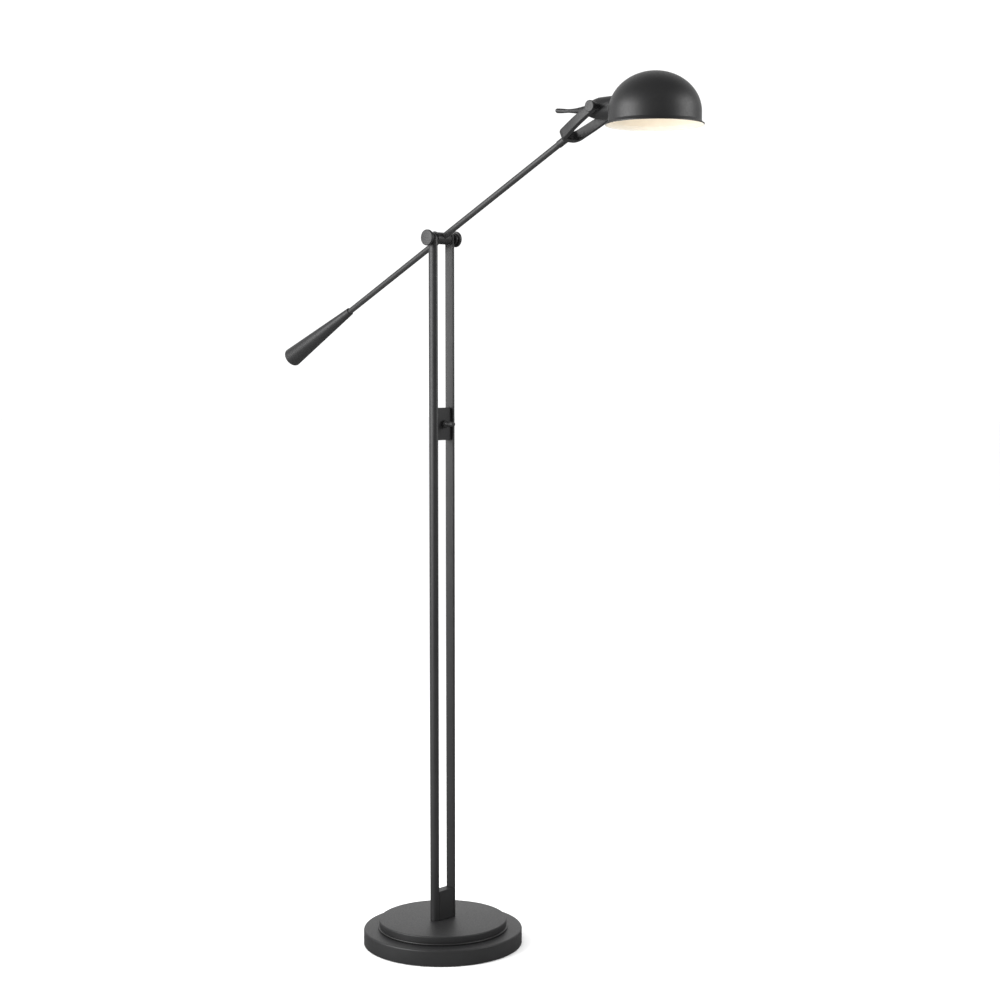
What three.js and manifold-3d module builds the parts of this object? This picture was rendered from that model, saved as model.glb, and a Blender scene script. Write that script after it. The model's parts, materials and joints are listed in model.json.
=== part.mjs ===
// Pharmacy floor lamp: a weighted two-tier base, two half-round uprights, a counterweighted boom on a
// friction knuckle, and a dome shade on a socket cup that tilts in a fork at the end of the boom.
//
// Millimetres. The origin is the centre of the base's underside. +Z is up, +X is the side the shade
// reaches towards, and Y runs along the axis of the knuckle. The lamp is a mirror image of itself in y = 0.

import * as THREE from "three";
import { mergeVertices } from "three/addons/utils/BufferGeometryUtils.js";
import Module from "manifold-3d";

const wasm = await Module();
wasm.setup();

// ---- driving dimensions ------------------------------------------------------------------------------

const GAP = 0.3; // clearance between pieces that touch

const BASE_RADIUS = 127;
const BASE_TOP = 26; // top of the lower tier
const TIER_RADIUS = 102.5;
const TIER_TOP = 40; // top of the upper tier
const BEAD_RADIUS = 104.5;
const BEAD_HEIGHT = 3;
const SHEET = 1.5; // wall of the pressed covers
const PAD_RADIUS = 121;
const PAD_THICK = 2;
const WEIGHT_RADIUS = 112;
const WEIGHT_TOP = 19;

const POST_RADIUS = 8.5; // half-round section, flat side inwards
const POST_FLAT = 16.4; // distance of each flat from the middle plane
const POST_WALL = 1.6;
const FOOT_BLOCK_HEIGHT = 47.4;

const KNUCKLE_Z = 1125.5;
const BARREL_RADIUS = 9.3;
const KNUCKLE_HALF = 33.6; // middle plane to the outer face of an end cap
const CAP_RADIUS = 12.4;
const CAP_THICK = 4.4;
const BOLT_RADIUS = 4;

const SWITCH_Z = 834.8;
const SWITCH_HEIGHT = 51;
const HOUSING_FRONT = 4; // the switch housing sits back from the posts' front edges
const HOUSING_BACK = -8.5;
const KNOB_TIP = 26.5;
const KNOB_RADIUS = 6.2;
const GRIP_RADIUS = 4;

const BOOM_ANGLE = THREE.MathUtils.degToRad(27.2);
const ROD_RADIUS = 4.75;
const ROD_BORE = 2.6;
const WEIGHT_START = 240; // knuckle to the thin end of the counterweight
const WEIGHT_END = 406;
const WEIGHT_THIN = 6.4;
const WEIGHT_THICK = 16;
const FERRULE_START = 275;
const FERRULE_END = 292.4;
const FERRULE_RADIUS = 5.6;

const FORK_INNER = 22.5; // middle plane to the inner flat of a tine, at the tilt axis
const FORK_ROOT = 14.2; // the same at the cross bar, because the tines spread
const FORK_MIDDLE = 20; // the same halfway along a tine
const FORK_THICK = 7;
const FORK_WIDTH = 14.8;
const FORK_CORNER = 7; // inner radius of the fork's two corners
const HEAD_REACH = 373.7; // knuckle to the tilt axis of the head
const TILT_CAP_RADIUS = 8.3;
const TILT_HALF = 34.8;
const TILT_BOLT_RADIUS = 2.5;

const CUP_RADIUS = 16;
const CUP_WALL = 2;
const SHADE_FORWARD = 92.3; // tilt axis to the axis of the shade
const SHADE_RADIUS = 66;
const SHADE_RISE = 57.4; // height of the domed part
const SHADE_BELT = -14.2; // bottom of the domed part, from the tilt axis
const SKIRT_DROP = 12;
const LIP_RADIUS = 70;
const LIP_DROP = 18;
const SHADE_WALL = 1.4;
const SOCKET_RADIUS = 11;

// ---- materials ---------------------------------------------------------------------------------------

function material(color, roughness, metalness) {
  return new THREE.MeshStandardMaterial({ color, roughness, metalness });
}

const black = material(0x2b2b2b, 0.55, 0.3);
const blackPlastic = material(0x1c1c1c, 0.5, 0.0);
const steel = material(0x9c9c9a, 0.35, 1.0);
const castIron = material(0x4a4a48, 0.8, 0.6);
const rubber = material(0x151515, 0.9, 0.0);
const ceramic = material(0xe8e4d8, 0.6, 0.0);
const brass = material(0xb08d4a, 0.35, 1.0);
const opalGlass = material(0xfff4dc, 0.3, 0.0);

// ---- shape helpers -----------------------------------------------------------------------------------

// A closed three.js geometry as a manifold solid, its normals turned outwards.
function solid(geometry) {
  const bare = geometry.index ? geometry.toNonIndexed() : geometry.clone();
  bare.deleteAttribute("normal");
  bare.deleteAttribute("uv");
  const merged = mergeVertices(bare, 1e-4);
  const positions = merged.attributes.position.array;
  const corners = [];
  for (let i = 0; i < merged.index.count; i += 3) {
    const [a, b, c] = [0, 1, 2].map((k) => merged.index.getX(i + k));
    if (a !== b && b !== c && c !== a) corners.push([a, b, c]);
  }
  const outward = signedVolume(positions, corners) > 0;
  const triangles = corners.flatMap(([a, b, c]) => (outward ? [a, b, c] : [a, c, b]));
  return new wasm.Manifold(
    new wasm.Mesh({
      numProp: 3,
      vertProperties: new Float32Array(positions),
      triVerts: new Uint32Array(triangles),
    }),
  );
}

function signedVolume(positions, corners) {
  const point = (i) => new THREE.Vector3().fromArray(positions, 3 * i);
  return corners.reduce((sum, [a, b, c]) => sum + point(a).dot(point(b).cross(point(c))), 0) / 6;
}

// A manifold solid back as a three.js geometry.
function geometryOf(body) {
  const mesh = body.getMesh();
  const geometry = new THREE.BufferGeometry();
  geometry.setAttribute("position", new THREE.BufferAttribute(new Float32Array(mesh.vertProperties), 3));
  geometry.setIndex(new THREE.BufferAttribute(new Uint32Array(mesh.triVerts), 1));
  geometry.computeVertexNormals();
  return geometry;
}

// Points of a round stretch of a profile, from angle a to angle b in degrees.
function arc(cx, cy, rx, ry, a, b, steps) {
  return Array.from({ length: steps + 1 }, (_, i) => {
    const t = THREE.MathUtils.degToRad(a + ((b - a) * i) / steps);
    return [cx + rx * Math.cos(t), cy + ry * Math.sin(t)];
  });
}

// Turned piece: profile points are [radius, distance along the axis]. A profile that leaves the axis
// is closed on itself.
function turned(profile, axis = "z", segments = 32) {
  const points = profile.map(([r, h]) => new THREE.Vector2(Math.max(r, 0), h));
  const onAxis = profile[0][0] === 0 && profile[profile.length - 1][0] === 0;
  if (!onAxis) points.push(points[0].clone());
  const geometry = new THREE.LatheGeometry(points, segments);
  geometry.rotateX(Math.PI / 2);
  if (axis === "x") geometry.rotateY(Math.PI / 2);
  if (axis === "y") geometry.rotateX(-Math.PI / 2);
  return solid(geometry);
}

// Plain round bar between two places along an axis.
function bar(radius, from, to, axis = "z", segments = 24) {
  return turned([[0, from], [radius, from], [radius, to], [0, to]], axis, segments);
}

// Round tube between two places along an axis.
function tube(outer, inner, from, to, axis = "z", segments = 24) {
  return turned([[inner, from], [outer, from], [outer, to], [inner, to]], axis, segments);
}

function block(x0, x1, y0, y1, z0, z1) {
  const geometry = new THREE.BoxGeometry(x1 - x0, y1 - y0, z1 - z0);
  geometry.translate((x0 + x1) / 2, (y0 + y1) / 2, (z0 + z1) / 2);
  return solid(geometry);
}

// Flat outline in X and Y, raised from z0 to z1.
function raised(outline, z0, z1) {
  const shape = new THREE.Shape(outline.map(([x, y]) => new THREE.Vector2(x, y)));
  const geometry = new THREE.ExtrudeGeometry(shape, { depth: z1 - z0, bevelEnabled: false });
  geometry.translate(0, 0, z0);
  return solid(geometry);
}

function hexagon(acrossFlats) {
  const radius = acrossFlats / Math.sqrt(3);
  return arc(0, 0, radius, radius, 0, 300, 5);
}

function place(group, name, body, look) {
  const mesh = new THREE.Mesh(geometryOf(body), look);
  mesh.name = name;
  group.add(mesh);
}

const SIDES = [
  { name: "near", side: -1 },
  { name: "far", side: 1 },
];

// ---- base --------------------------------------------------------------------------------------------

const BOLT_Y = POST_FLAT + 4.3; // the posts' fixing bolts
const POST_BOLT_RADIUS = 2;
const BASE_SEGMENTS = 48;

function boltHoles(radius, from, to) {
  return bar(radius, from, to, "z", 16)
    .translate([0, -BOLT_Y, 0])
    .add(bar(radius, from, to, "z", 16).translate([0, BOLT_Y, 0]));
}

function basePad() {
  return bar(PAD_RADIUS, 0, PAD_THICK, "z", BASE_SEGMENTS);
}

function lowerCover() {
  const foot = 1.2;
  const round = 2.4;
  const inner = BASE_RADIUS - SHEET;
  const shell = turned(
    [
      [inner, foot],
      [BASE_RADIUS, foot],
      ...arc(BASE_RADIUS - round, BASE_TOP - round, round, round, 0, 90, 3),
      [10, BASE_TOP],
      [10, BASE_TOP - SHEET],
      [inner, BASE_TOP - SHEET],
    ],
    "z",
    BASE_SEGMENTS,
  );
  return shell.subtract(boltHoles(POST_BOLT_RADIUS + GAP, 0, TIER_TOP)).subtract(cordHole());
}

function castWeight() {
  const body = tube(WEIGHT_RADIUS, 10, PAD_THICK + GAP, WEIGHT_TOP, "z", BASE_SEGMENTS);
  return body.subtract(boltHoles(POST_BOLT_RADIUS + GAP, 0, TIER_TOP)).subtract(boltHoles(5, 0, 8));
}

function upperCover() {
  const foot = BASE_TOP + GAP;
  const round = 1.8;
  const half = BEAD_HEIGHT / 2;
  const shell = turned(
    [
      [TIER_RADIUS - SHEET, foot],
      [TIER_RADIUS, foot],
      ...arc(BEAD_RADIUS - half, foot + half, half, half, -90, 90, 3),
      ...arc(TIER_RADIUS - round, TIER_TOP - round, round, round, 0, 90, 2),
      [10, TIER_TOP],
      [10, TIER_TOP - SHEET],
      [TIER_RADIUS - SHEET, TIER_TOP - SHEET],
    ],
    "z",
    BASE_SEGMENTS,
  );
  return shell.subtract(boltHoles(POST_BOLT_RADIUS + GAP, 0, TIER_TOP + 1));
}

const PLATE_RADIUS = 60;

function tierPlate() {
  const body = tube(PLATE_RADIUS, 10, BASE_TOP + GAP, TIER_TOP - SHEET - GAP, "z", 36);
  return body.subtract(boltHoles(POST_BOLT_RADIUS + GAP, 0, TIER_TOP));
}

const CORD_Z = 11;

function cordHole() {
  return bar(4.3, -BASE_RADIUS - 5, -BASE_RADIUS + 5, "x", 16).translate([0, 0, CORD_Z]);
}

function cordBushing() {
  const skin = -BASE_RADIUS;
  const profile = [
    [2.6, skin - 2.6],
    [5, skin - 2.6],
    [6, skin - 1.6],
    [6, skin - GAP],
    [4, skin - GAP],
    [4, skin + 5.5],
    [2.6, skin + 5.5],
  ];
  return turned(profile, "x", 20).translate([0, 0, CORD_Z]);
}

function buildBase(group) {
  place(group, "base_pad", basePad(), rubber);
  place(group, "base_lower_cover", lowerCover(), black);
  place(group, "base_weight", castWeight(), castIron);
  place(group, "base_upper_cover", upperCover(), black);
  place(group, "base_tier_plate", tierPlate(), castIron);
  place(group, "cord_bushing", cordBushing(), rubber);
}

// ---- uprights ----------------------------------------------------------------------------------------

const POST_FOOT = TIER_TOP + GAP;
const POST_CLOSED = KNUCKLE_Z - 24; // the tube is solid above this height
const PLUG_TOP = POST_FOOT + 24;

// Half-round outline, flat at y = flat, round towards +Y.
function halfRound(radius, flat, steps) {
  return arc(0, flat, radius, radius, 0, 180, steps);
}

function post(side) {
  const flat = POST_FLAT;
  const outside = raised(halfRound(POST_RADIUS, flat, 14), POST_FOOT, KNUCKLE_Z + POST_RADIUS);
  const topRound = bar(POST_RADIUS, flat - 1, flat + POST_RADIUS + 1, "y", 40).translate([0, 0, KNUCKLE_Z]);
  const shank = block(-POST_RADIUS - 1, POST_RADIUS + 1, flat - 1, flat + POST_RADIUS + 1, 0, KNUCKLE_Z);
  const inside = raised(halfRound(POST_RADIUS - POST_WALL, flat + POST_WALL, 10), 0, POST_CLOSED);
  const clip = inside.intersect(block(-20, 20, flat, flat + POST_RADIUS - POST_WALL, 0, KNUCKLE_Z));
  const boltBore = bar(BOLT_RADIUS + GAP, flat - 5, flat + 15, "y", 20).translate([0, 0, KNUCKLE_Z]);
  const screwBore = bar(HOUSING_SCREW_RADIUS + GAP, flat - 5, flat + 4, "y", 12);
  const body = outside
    .intersect(topRound.add(shank))
    .subtract(clip)
    .subtract(boltBore)
    .subtract(screwBore.translate(HOUSING_SCREW_PLACE));
  return side > 0 ? body : body.mirror([0, 1, 0]);
}

// Plug closing the foot of a post, tapped for its fixing bolt.
function postPlug(side) {
  const wall = POST_WALL + GAP;
  const depth = POST_RADIUS - wall;
  const outline = halfRound(depth, POST_FLAT + wall, 10);
  const body = raised(outline, POST_FOOT + GAP, PLUG_TOP)
    .intersect(block(-20, 20, POST_FLAT, POST_FLAT + POST_RADIUS - wall, 0, PLUG_TOP))
    .subtract(bar(POST_BOLT_RADIUS + 0.2, 0, PLUG_TOP + 1, "z", 16).translate([0, BOLT_Y, 0]));
  return side > 0 ? body : body.mirror([0, 1, 0]);
}

function postBolt(side) {
  const head = raised(hexagon(7), PAD_THICK + 1.5, PAD_THICK + 5.2);
  const shank = bar(POST_BOLT_RADIUS, PAD_THICK + 5, PLUG_TOP - 2, "z", 16);
  return head.add(shank).translate([0, side * BOLT_Y, 0]);
}

function footBlock() {
  const half = POST_FLAT - GAP;
  return block(-POST_RADIUS, POST_RADIUS, -half, half, POST_FOOT, TIER_TOP + FOOT_BLOCK_HEIGHT);
}

function buildUprights(group) {
  for (const { name, side } of SIDES) {
    place(group, `post_${name}`, post(side), black);
    place(group, `post_plug_${name}`, postPlug(side), steel);
    place(group, `post_bolt_${name}`, postBolt(side), steel);
  }
  place(group, "foot_block", footBlock(), black);
}

// ---- switch block ------------------------------------------------------------------------------------

const HOUSING_HALF = POST_FLAT - GAP;
const HOUSING_WALL = 1.8;
const HOUSING_SCREW_RADIUS = 1.5;
const HOUSING_SCREW_Z = SWITCH_Z + SWITCH_HEIGHT / 2 - 6;
const HOUSING_SCREW_PLACE = [(HOUSING_BACK + HOUSING_FRONT) / 2, 0, HOUSING_SCREW_Z];
const COVER_THICK = 1.6;
const BUSH_RADIUS = 3.5;
const NUT_THICK = 2.6;

function switchHousing() {
  const low = SWITCH_Z - SWITCH_HEIGHT / 2;
  const high = SWITCH_Z + SWITCH_HEIGHT / 2;
  const wall = HOUSING_WALL;
  const outside = block(HOUSING_BACK, HOUSING_FRONT, -HOUSING_HALF, HOUSING_HALF, low, high);
  const inside = block(
    HOUSING_BACK - 1,
    HOUSING_FRONT - wall,
    -HOUSING_HALF + wall,
    HOUSING_HALF - wall,
    low + wall,
    high - wall,
  );
  const bushHole = bar(BUSH_RADIUS + GAP, -2, 20, "x", 20).translate([0, 0, SWITCH_Z]);
  const screwHoles = bar(HOUSING_SCREW_RADIUS + GAP, -30, 30, "y", 12).translate(HOUSING_SCREW_PLACE);
  return outside.subtract(inside).subtract(bushHole).subtract(screwHoles);
}

function housingCover() {
  const half = HOUSING_HALF - HOUSING_WALL - GAP;
  const reach = SWITCH_HEIGHT / 2 - HOUSING_WALL - GAP;
  return block(
    HOUSING_BACK,
    HOUSING_BACK + COVER_THICK,
    -half,
    half,
    SWITCH_Z - reach,
    SWITCH_Z + reach,
  );
}

function housingScrew(side) {
  const inner = HOUSING_HALF - HOUSING_WALL;
  const head = bar(2.7, inner - GAP - 1.6, inner - GAP, "y", 16);
  const shank = bar(HOUSING_SCREW_RADIUS, inner - GAP - 0.5, POST_FLAT + 3.5, "y", 12);
  const body = head.add(shank).translate(HOUSING_SCREW_PLACE);
  return side > 0 ? body : body.mirror([0, 1, 0]);
}

function switchBody() {
  const front = HOUSING_FRONT - HOUSING_WALL - GAP;
  const back = HOUSING_BACK + COVER_THICK + GAP;
  const can = block(back, front, -9.5, 9.5, SWITCH_Z - 15, SWITCH_Z + 11);
  const bush = bar(BUSH_RADIUS, front - 1, HOUSING_FRONT + 4.5, "x", 20);
  const shaftBore = bar(1.8, back + 2, 20, "x", 16).translate([0, 0, SWITCH_Z]);
  return can.add(bush.translate([0, 0, SWITCH_Z])).subtract(shaftBore);
}

function switchNut() {
  const start = HOUSING_FRONT + GAP;
  const profile = [
    [BUSH_RADIUS + 0.2, start],
    [5.6, start],
    [5.6, start + NUT_THICK - 0.6],
    [5, start + NUT_THICK],
    [BUSH_RADIUS + 0.2, start + NUT_THICK],
  ];
  return turned(profile, "x", 24).translate([0, 0, SWITCH_Z]);
}

function switchShaft() {
  return bar(1.5, HOUSING_FRONT - 5, KNOB_TIP - 6, "x", 14).translate([0, 0, SWITCH_Z]);
}

function switchKnob() {
  const back = HOUSING_FRONT + NUT_THICK + 2 * GAP;
  const round = 1.6;
  const profile = [
    [0, back],
    [KNOB_RADIUS, back],
    [KNOB_RADIUS, back + 3.4],
    [GRIP_RADIUS + 0.4, back + 4.6],
    [GRIP_RADIUS, back + 6],
    ...arc(GRIP_RADIUS - round, KNOB_TIP - round, round, round, 0, 90, 3),
    [0, KNOB_TIP],
  ];
  const bushBore = bar(BUSH_RADIUS + 0.4, 0, back + 3, "x", 16);
  const shaftBore = bar(1.8, 0, KNOB_TIP - 5.6, "x", 14);
  return turned(profile, "x", 24).subtract(bushBore).subtract(shaftBore).translate([0, 0, SWITCH_Z]);
}

function buildSwitch(group) {
  place(group, "switch_housing", switchHousing(), black);
  place(group, "switch_back_cover", housingCover(), black);
  place(group, "switch_body", switchBody(), blackPlastic);
  place(group, "switch_nut", switchNut(), steel);
  place(group, "switch_shaft", switchShaft(), steel);
  place(group, "switch_knob", switchKnob(), black);
  for (const { name, side } of SIDES) {
    place(group, `housing_screw_${name}`, housingScrew(side), steel);
  }
}

// ---- knuckle and boom, in a frame whose X runs along the boom -------------------------------------------

const BARREL_HALF = POST_FLAT - 1.8;

function pivotBarrel() {
  const edge = 0.6;
  const profile = [
    [0, -BARREL_HALF],
    [BARREL_RADIUS - edge, -BARREL_HALF],
    [BARREL_RADIUS, -BARREL_HALF + edge],
    [BARREL_RADIUS, BARREL_HALF - edge],
    [BARREL_RADIUS - edge, BARREL_HALF],
    [0, BARREL_HALF],
  ];
  const rodBore = bar(ROD_RADIUS + GAP, -20, 20, "x", 24);
  const boltBores = bar(BOLT_RADIUS + GAP, 6.2, 20, "y", 20).add(
    bar(BOLT_RADIUS + GAP, -20, -6.2, "y", 20),
  );
  const screwBore = bar(GRUB_RADIUS + GAP, -20, 0, "z", 12);
  return turned(profile, "y", 28).subtract(rodBore).subtract(boltBores).subtract(screwBore);
}

const GRUB_RADIUS = 2;

function grubScrew() {
  return bar(GRUB_RADIUS, -BARREL_RADIUS + 0.5, -ROD_RADIUS - GAP, "z", 14);
}

// Shoulder bolt: a round end cap with a shank that screws into the barrel.
function pivotBolt(side) {
  const inner = KNUCKLE_HALF - CAP_THICK;
  const round = 1;
  const profile = [
    [0, 6.6],
    [BOLT_RADIUS, 6.6],
    [BOLT_RADIUS, inner],
    [CAP_RADIUS - 0.5, inner],
    [CAP_RADIUS, inner + 0.5],
    ...arc(CAP_RADIUS - round, KNUCKLE_HALF - round, round, round, 0, 90, 2),
    [0, KNUCKLE_HALF],
  ];
  const body = turned(profile, "y", 28);
  return side > 0 ? body : body.mirror([0, 1, 0]);
}

function ringAcross(side, outer, inner, from, to) {
  const body = tube(outer, inner, from, to, "y", 18);
  return side > 0 ? body : body.mirror([0, 1, 0]);
}

function boomRod() {
  return tube(ROD_RADIUS, ROD_BORE, -WEIGHT_START - 18, FERRULE_END - 6, "x", 24);
}

function counterweight() {
  const edge = 1.6;
  const profile = [
    [0, -WEIGHT_END],
    ...arc(0, -WEIGHT_END + edge, WEIGHT_THICK, edge, -60, 0, 3).map(([r, x]) => [
      Math.max(r, WEIGHT_THICK - edge),
      x,
    ]),
    [WEIGHT_THIN, -WEIGHT_START - 0.6],
    [WEIGHT_THIN - 0.6, -WEIGHT_START],
    [0, -WEIGHT_START],
  ];
  return turned(profile, "x", 28).subtract(
    bar(ROD_RADIUS + GAP, -WEIGHT_START - 18 - GAP, -WEIGHT_START + 5, "x", 24),
  );
}

function ferrule() {
  const edge = 0.7;
  const body = turned(
    [
      [0, FERRULE_START],
      [FERRULE_RADIUS - edge, FERRULE_START],
      [FERRULE_RADIUS, FERRULE_START + edge],
      [FERRULE_RADIUS, FERRULE_END],
      [0, FERRULE_END],
    ],
    "x",
    28,
  );
  const rodBore = bar(ROD_RADIUS + GAP, FERRULE_START - 5, FERRULE_END - 6 + GAP, "x", 24);
  const nippleBore = bar(NIPPLE_RADIUS + GAP, FERRULE_START, FERRULE_END + 5, "x", 20);
  return body.subtract(rodBore).subtract(nippleBore);
}

const NIPPLE_RADIUS = 3;
const FORK_SEAT = FERRULE_END + GAP + FORK_THICK; // inner face of the fork's cross bar

// Middle line of the fork's inner face: back along one tine, across, and out along the other. The
// tines spread from the cross bar, then run parallel past the tilt axis.
function forkPath() {
  const at = (x, y) => new THREE.Vector3(x, y, 0);
  const bend = FORK_SEAT + FORK_CORNER;
  const level = HEAD_REACH - FORK_WIDTH / 2;
  const halfway = (level + bend) / 2;
  const cross = FORK_ROOT - FORK_CORNER;
  const corner = (side) => at(FORK_SEAT, side * FORK_ROOT);
  const path = new THREE.CurvePath();
  path.add(new THREE.LineCurve3(at(HEAD_REACH, -FORK_INNER), at(level, -FORK_INNER)));
  path.add(new THREE.LineCurve3(at(level, -FORK_INNER), at(halfway, -FORK_MIDDLE)));
  path.add(new THREE.LineCurve3(at(halfway, -FORK_MIDDLE), at(bend, -FORK_ROOT)));
  path.add(new THREE.QuadraticBezierCurve3(at(bend, -FORK_ROOT), corner(-1), at(FORK_SEAT, -cross)));
  path.add(new THREE.LineCurve3(at(FORK_SEAT, -cross), at(FORK_SEAT, cross)));
  path.add(new THREE.QuadraticBezierCurve3(at(FORK_SEAT, cross), corner(1), at(bend, FORK_ROOT)));
  path.add(new THREE.LineCurve3(at(bend, FORK_ROOT), at(halfway, FORK_MIDDLE)));
  path.add(new THREE.LineCurve3(at(halfway, FORK_MIDDLE), at(level, FORK_INNER)));
  path.add(new THREE.LineCurve3(at(level, FORK_INNER), at(HEAD_REACH, FORK_INNER)));
  return path;
}

// Squarish U of flat bar with eased outer edges, and a round boss at each end.
function fork() {
  const half = FORK_WIDTH / 2;
  const ease = 2.6;
  const outline = [
    [half, 0],
    [half, FORK_THICK - ease],
    [half - ease, FORK_THICK],
    [ease - half, FORK_THICK],
    [-half, FORK_THICK - ease],
    [-half, 0],
  ];
  const section = new THREE.Shape(outline.map(([across, out]) => new THREE.Vector2(across, out)));
  const sweep = { steps: 60, extrudePath: forkPath(), bevelEnabled: false };
  let body = solid(new THREE.ExtrudeGeometry(section, sweep));
  for (const { side } of SIDES) {
    const boss = bar(half, FORK_INNER, FORK_INNER + FORK_THICK, "y", 28);
    const bore = bar(TILT_BOLT_RADIUS + GAP, 0, 40, "y", 16);
    const turn = (shape) => (side > 0 ? shape : shape.mirror([0, 1, 0])).translate([HEAD_REACH, 0, 0]);
    body = body.add(turn(boss)).subtract(turn(bore));
  }
  return body.subtract(bar(NIPPLE_RADIUS + GAP, FERRULE_START, FORK_SEAT + 5, "x", 20));
}

function forkNipple() {
  return tube(NIPPLE_RADIUS, 1.6, FERRULE_END - 5, FORK_SEAT + 4, "x", 20);
}

function forkNut() {
  const nut = raised(hexagon(9), 0, 2.6).rotate([0, 90, 0]).translate([FORK_SEAT + GAP, 0, 0]);
  return nut.subtract(bar(NIPPLE_RADIUS + 0.2, 0, HEAD_REACH, "x", 20));
}

function buildBoom(group) {
  place(group, "pivot_barrel", pivotBarrel(), black);
  place(group, "rod_set_screw", grubScrew(), steel);
  for (const { name, side } of SIDES) {
    place(group, `pivot_bolt_${name}`, pivotBolt(side), black);
    const inner = ringAcross(side, 10.4, BOLT_RADIUS + GAP, BARREL_HALF + GAP, POST_FLAT - GAP);
    place(group, `friction_washer_${name}`, inner, blackPlastic);
    const outerFrom = POST_FLAT + POST_RADIUS + GAP;
    const outer = ringAcross(side, 9.2, BOLT_RADIUS + GAP, outerFrom, KNUCKLE_HALF - CAP_THICK - GAP);
    place(group, `spring_washer_${name}`, outer, steel);
  }
  place(group, "boom_rod", boomRod(), black);
  place(group, "counterweight", counterweight(), black);
  place(group, "boom_ferrule", ferrule(), black);
  place(group, "fork", fork(), black);
  place(group, "fork_nipple", forkNipple(), black);
  place(group, "fork_nut", forkNut(), black);
}

// ---- head, in a frame centred on the tilt axis -----------------------------------------------------------

const FORK_OUTER = FORK_INNER + FORK_THICK;

function tiltScrew(side) {
  const neck = FORK_OUTER + 1.6;
  const profile = [
    [0, CUP_RADIUS - CUP_WALL],
    [TILT_BOLT_RADIUS, CUP_RADIUS - CUP_WALL],
    [TILT_BOLT_RADIUS, FORK_OUTER + GAP],
    [5, FORK_OUTER + GAP],
    [5, neck],
    [TILT_CAP_RADIUS - 0.5, neck],
    [TILT_CAP_RADIUS, neck + 0.5],
    ...arc(TILT_CAP_RADIUS - 1, TILT_HALF - 1, 1, 1, 0, 90, 2),
    [0, TILT_HALF],
  ];
  const body = turned(profile, "y", 20);
  return side > 0 ? body : body.mirror([0, 1, 0]);
}

// Outline of the shade, from the crown down: [radius, height above the tilt axis].
function shadeOutline(inset, steps) {
  const dome = arc(0, SHADE_BELT, SHADE_RADIUS - inset, SHADE_RISE - inset, 90, 0, steps);
  return [[0, SHADE_BELT + SHADE_RISE - inset], ...dome.slice(1)];
}

function shade() {
  const belt = SHADE_BELT;
  const lipInner = LIP_RADIUS - 1;
  const outside = [
    ...shadeOutline(0, 9),
    [SHADE_RADIUS, belt - SKIRT_DROP],
    [SHADE_RADIUS + 1.6, belt - LIP_DROP + 2.6],
    [LIP_RADIUS, belt - LIP_DROP + 1],
    [LIP_RADIUS, belt - LIP_DROP],
    [lipInner, belt - LIP_DROP],
    [SHADE_RADIUS + 0.4, belt - LIP_DROP + 1.4],
    [SHADE_RADIUS - SHADE_WALL, belt - SKIRT_DROP],
  ];
  const inside = shadeOutline(SHADE_WALL, 9).reverse();
  const shell = turned([...outside, ...inside], "z", 44).translate([SHADE_FORWARD, 0, 0]);
  return shell.subtract(bar(SOCKET_RADIUS + GAP, 10, 60, "x", 28));
}

// The dome's outer form, grown by a clearance, for cutting the cup to fit against it.
function domeForm(clearance) {
  const radius = SHADE_RADIUS + clearance;
  const rise = SHADE_RISE + clearance;
  const profile = [...arc(0, SHADE_BELT, radius, rise, 90, 0, 9), [radius, SHADE_BELT - 30], [0, SHADE_BELT - 30]];
  profile[0] = [0, SHADE_BELT + rise];
  return turned(profile, "z", 44).translate([SHADE_FORWARD, 0, 0]);
}

// Bell-shaped cup: round back, straight barrel, front edge fitted to the dome.
function socketCup() {
  const front = 50;
  const inner = CUP_RADIUS - CUP_WALL;
  const outside = turned(
    [
      [0, CUP_BACK],
      [7.4, CUP_BACK],
      [8.6, CUP_BACK + 1],
      [9.4, CUP_BACK + 4],
      [11.6, CUP_BACK + 9],
      [14, CUP_BACK + 15],
      [15.5, CUP_BACK + 21],
      [CUP_RADIUS, CUP_BACK + 27],
      [CUP_RADIUS, front],
      [0, front],
    ],
    "x",
    28,
  );
  const hollow = turned(
    [
      [0, CUP_BACK + 7],
      [8.8, CUP_BACK + 8],
      [12, CUP_BACK + 16],
      [inner, CUP_BACK + 25],
      [inner, front + 1],
      [0, front + 1],
    ],
    "x",
    24,
  );
  const bores = bar(TILT_BOLT_RADIUS + GAP, -30, 30, "y", 16);
  const tailBore = bar(3.2, CUP_BACK - 1, CUP_BACK + 10, "x", 18);
  return outside.subtract(hollow).subtract(bores).subtract(tailBore).subtract(domeForm(GAP));
}

const CUP_BACK = -33;
const TAIL_END = -93.4;
const TAIL_RISE = 4.8;

// Handle behind the cup: a slim turned bar with a round end, bent gently upwards.
function tailHandle() {
  const stud = [
    [0, CUP_BACK + 9],
    [2.9, CUP_BACK + 9],
    [2.9, CUP_BACK - GAP],
    [6.6, CUP_BACK - GAP],
  ];
  const flare = [
    [6.6, CUP_BACK - 4],
    [5.7, CUP_BACK - 9.5],
    [4.8, CUP_BACK - 15],
    [3.9, CUP_BACK - 21],
    [3.1, CUP_BACK - 29],
    [2.8, CUP_BACK - 37],
    [3.2, CUP_BACK - 44],
    [3.5, CUP_BACK - 51],
  ];
  const nose = arc(0, TAIL_END + 3.5, 3.5, 3.5, 0, -90, 4);
  nose[nose.length - 1] = [0, TAIL_END];
  const straight = turned([...stud, ...flare, ...nose], "x", 16);
  return straight.warp((v) => {
    const along = Math.max(0, (CUP_BACK - 4 - v[0]) / (CUP_BACK - 4 - TAIL_END));
    v[2] += TAIL_RISE * along ** 1.3;
  });
}

const SOCKET_BACK = 4;
const SOCKET_FRONT = 50;
const BULB_BASE_RADIUS = 6;

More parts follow.
